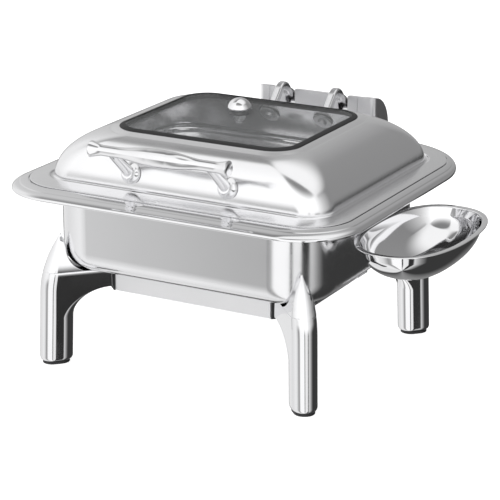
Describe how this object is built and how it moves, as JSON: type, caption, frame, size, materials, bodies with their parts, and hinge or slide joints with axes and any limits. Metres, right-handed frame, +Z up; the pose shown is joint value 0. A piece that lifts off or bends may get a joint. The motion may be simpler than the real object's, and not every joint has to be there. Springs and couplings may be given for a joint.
{
  "type": "roll top chafer",
  "caption": "Rectangular steel chafer with a legged frame, lift-out water pan, food pan, hinged domed lid with a glass window and a bar handle, and a spoon bowl at one side.",
  "frame": {"origin": "under the middle of the whole object's bounding box, on the floor", "axes": "+X along the front towards the spoon bowl, -Y towards the handle side, +Y towards the hinge, +Z up"},
  "size_m": [0.524, 0.4346, 0.3036],
  "materials": {
    "polished_steel": "polished stainless steel",
    "satin_steel": "satin stainless steel",
    "hardware_steel": "plain steel fasteners and shaft",
    "spring_steel": "spring steel",
    "bush_bronze": "plain bearing bronze",
    "black_rubber": "matt black rubber",
    "clear_glass": "clear glass"
  },
  "bodies": {
    "stand": {"leg_front_left": "polished_steel", "leg_front_right": "polished_steel", "leg_rear_left": "polished_steel", "leg_rear_right": "polished_steel", "foot_pads": "black_rubber", "front_bar": "satin_steel", "rear_bar": "satin_steel", "left_bar": "satin_steel", "right_bar": "satin_steel", "corner_plates": "satin_steel", "leg_spacers": "black_rubber", "leg_bolts": "hardware_steel", "spoon_bowl": "polished_steel", "bowl_bracket": "satin_steel", "bowl_screws": "hardware_steel"},
    "pan": {"water_pan": "satin_steel", "food_pan": "satin_steel", "hinge_bracket": "satin_steel", "bracket_screws": "hardware_steel", "hinge_cover": "satin_steel", "hinge_block_left": "satin_steel", "hinge_block_right": "satin_steel", "hinge_end_cap_left": "satin_steel", "hinge_end_cap_right": "satin_steel", "hinge_bushes": "bush_bronze"},
    "lid": {"lid_shell": "polished_steel", "window_gasket": "black_rubber", "glass_window": "clear_glass", "vent_cap": "polished_steel", "vent_washer": "black_rubber", "vent_nut": "hardware_steel", "handle_bar": "polished_steel", "handle_post_left": "polished_steel", "handle_post_right": "polished_steel", "handle_screws": "hardware_steel", "handle_washers": "hardware_steel", "hinge_shaft": "hardware_steel", "hinge_arm_left": "satin_steel", "hinge_arm_right": "satin_steel", "arm_screws": "hardware_steel", "arm_washers": "hardware_steel", "hinge_springs": "spring_steel"}
  },
  "joints": [
    {"name": "pan_lift", "type": "slide", "parent": "stand", "child": "pan", "axis": [0, 0, 1], "range_m": [0, 0.12]},
    {"name": "lid_hinge", "type": "hinge", "parent": "pan", "child": "lid", "pos_m": [-0.042, 0.1947, 0.246], "axis": [-1, 0, 0], "range_deg": [0, 90]}
  ]
}
